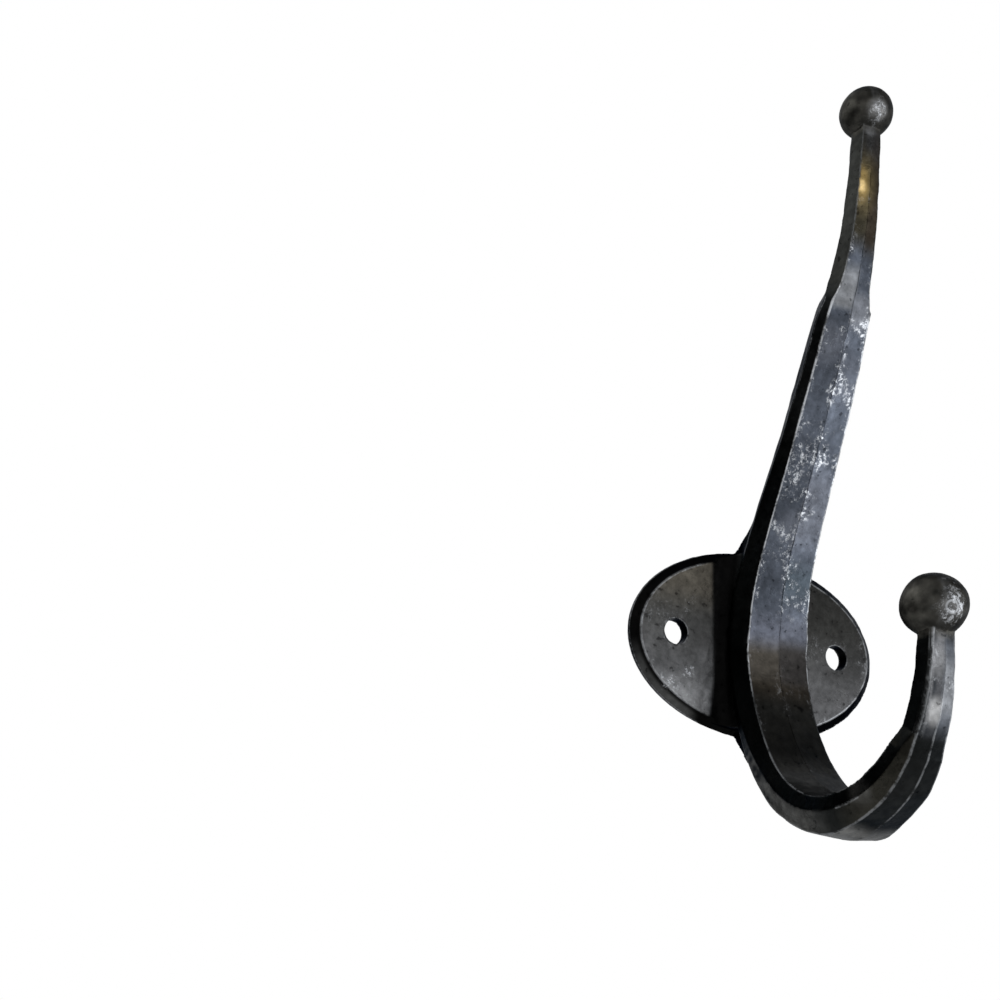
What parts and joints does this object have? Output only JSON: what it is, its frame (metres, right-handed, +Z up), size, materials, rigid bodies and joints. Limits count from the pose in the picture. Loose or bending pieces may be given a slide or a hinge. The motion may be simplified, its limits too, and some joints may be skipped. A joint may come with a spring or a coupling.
{
  "type": "hat and coat hook",
  "caption": "Cast hat and coat hook: oval screw plate, a long upper arm that thins to a ball for a hat, and a lower J-shaped arm that ends in a ball for a coat.",
  "frame": {"origin": "centre of the oval plate on its flat back, midway between the two screw holes, in the plane of the wall", "axes": "+Z up, +Y into the wall, -Y out to the room, X across from screw hole to screw hole; the casting is the same on both sides of the plane x = 0"},
  "size_m": [0.0638, 0.0648, 0.1635],
  "materials": {
    "iron": "dark antique iron, satin, edges worn lighter"
  },
  "bodies": {
    "root": {"hook_casting": "iron"}
  },
  "joints": []
}
